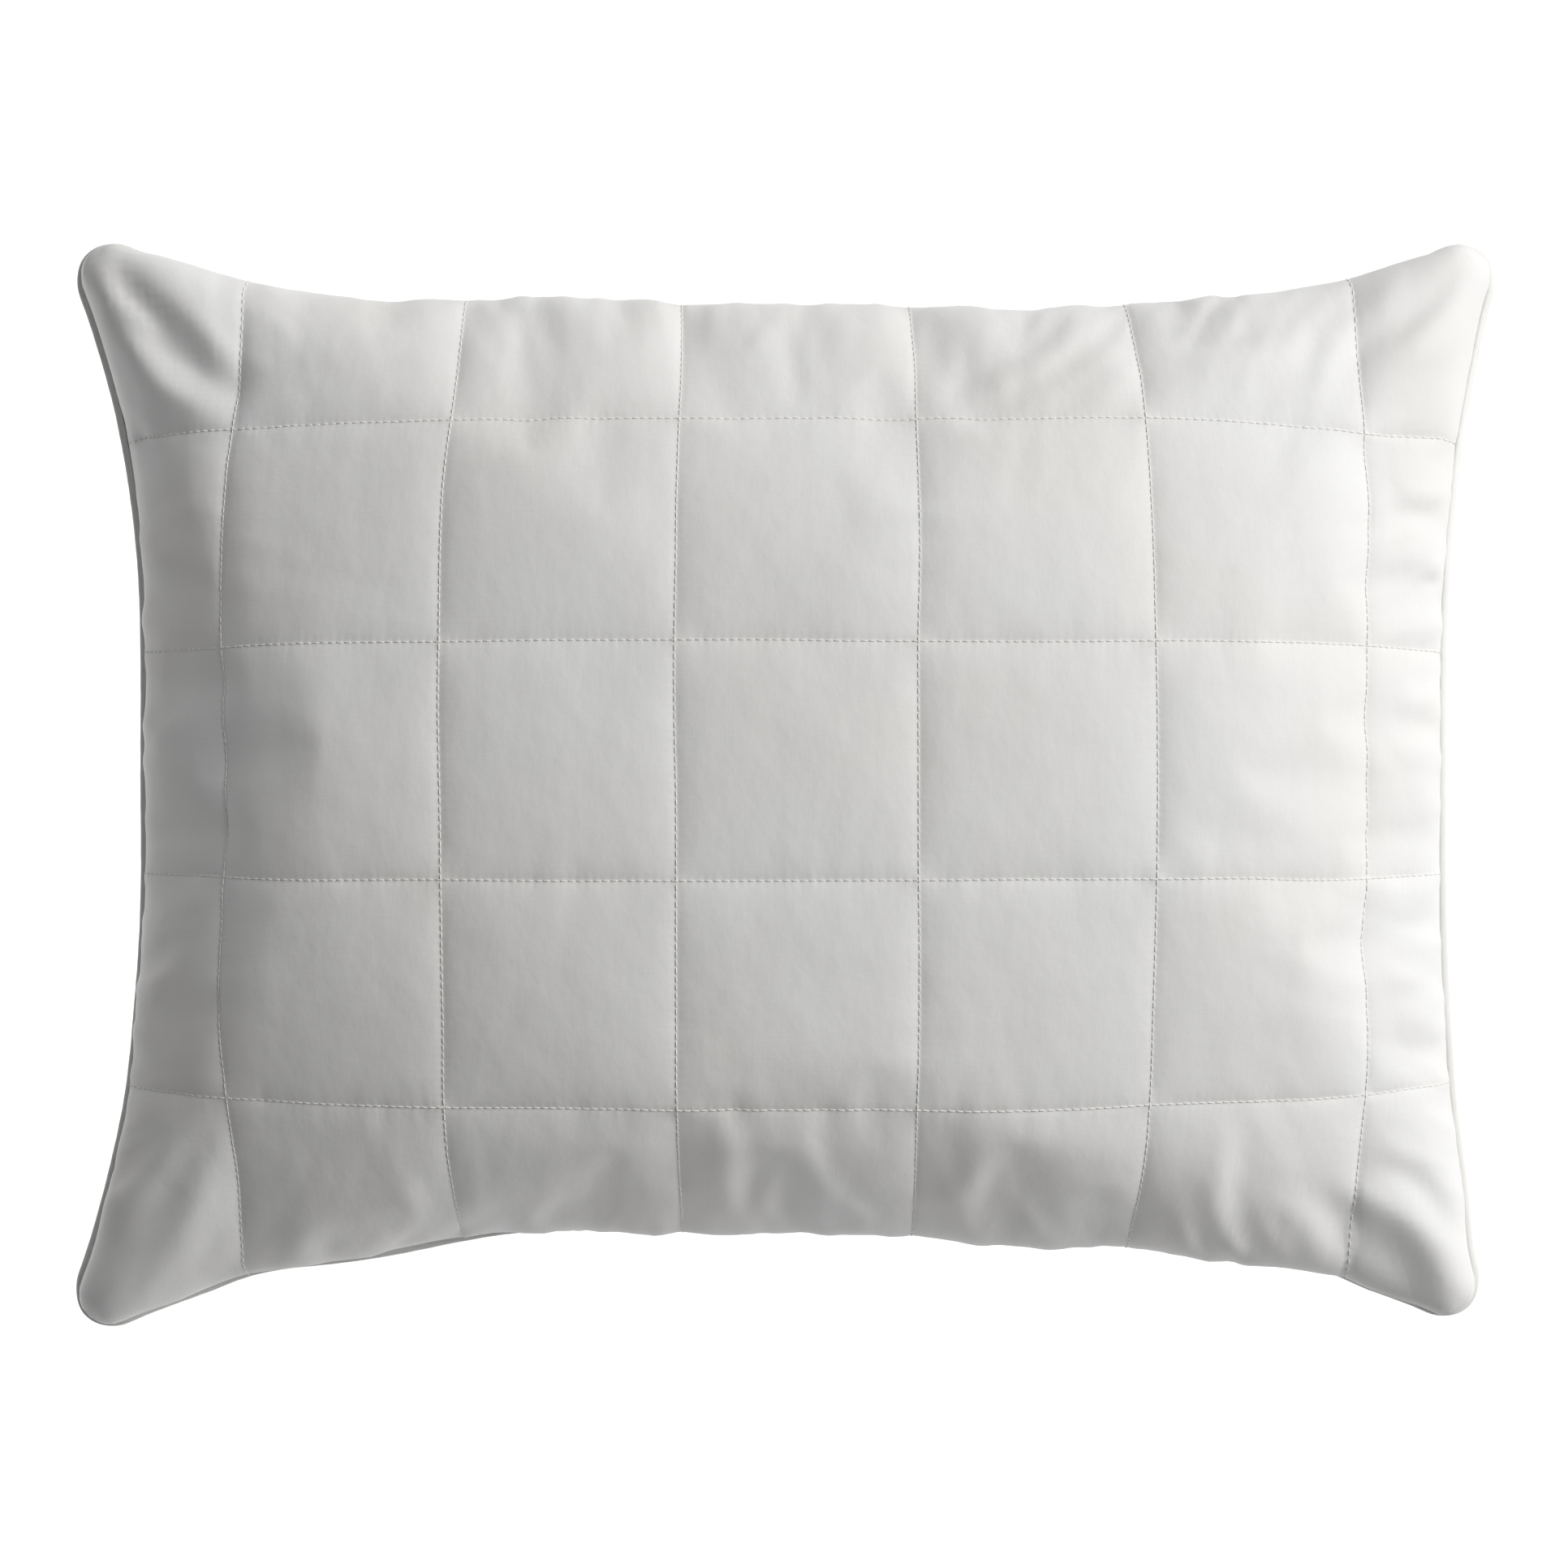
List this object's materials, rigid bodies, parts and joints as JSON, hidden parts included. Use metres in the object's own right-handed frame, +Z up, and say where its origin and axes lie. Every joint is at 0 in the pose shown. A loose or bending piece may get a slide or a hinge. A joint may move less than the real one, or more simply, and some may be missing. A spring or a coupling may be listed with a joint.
{
  "type": "bed pillow",
  "caption": "Flat-lying rectangular bed pillow: quilted cotton panels joined by a corded piping round a loose fibre fill.",
  "frame": {"origin": "centre of the pillow's box, on the surface that it lies on", "axes": "+X along the long way, +Y along the short way, +Z up out of the upper panel"},
  "size_m": [0.644, 0.4914, 0.184],
  "materials": {
    "cotton_percale": "white plain-weave cotton with a faint satin sheen",
    "polyester_wadding": "matt lofty white wadding",
    "scrim": "matt white non-woven",
    "hollow_fibre": "matt white loose fibre",
    "cord_cotton": "unbleached twisted cotton cord",
    "bias_cotton": "white cotton bias strip",
    "quilting_thread": "off-white twisted thread",
    "seam_thread": "white twisted thread"
  },
  "bodies": {
    "root": {"top_shell_fabric": "cotton_percale", "bottom_shell_fabric": "cotton_percale", "top_wadding": "polyester_wadding", "bottom_wadding": "polyester_wadding", "top_backing": "scrim", "bottom_backing": "scrim", "fibre_fill": "hollow_fibre", "piping_cord": "cord_cotton", "piping_cover": "bias_cotton", "top_quilting_thread_cross": "quilting_thread", "top_quilting_thread_long": "quilting_thread", "bottom_quilting_thread_cross": "quilting_thread", "bottom_quilting_thread_long": "quilting_thread", "perimeter_seam_thread": "seam_thread", "closing_seam_thread": "seam_thread"}
  },
  "joints": []
}
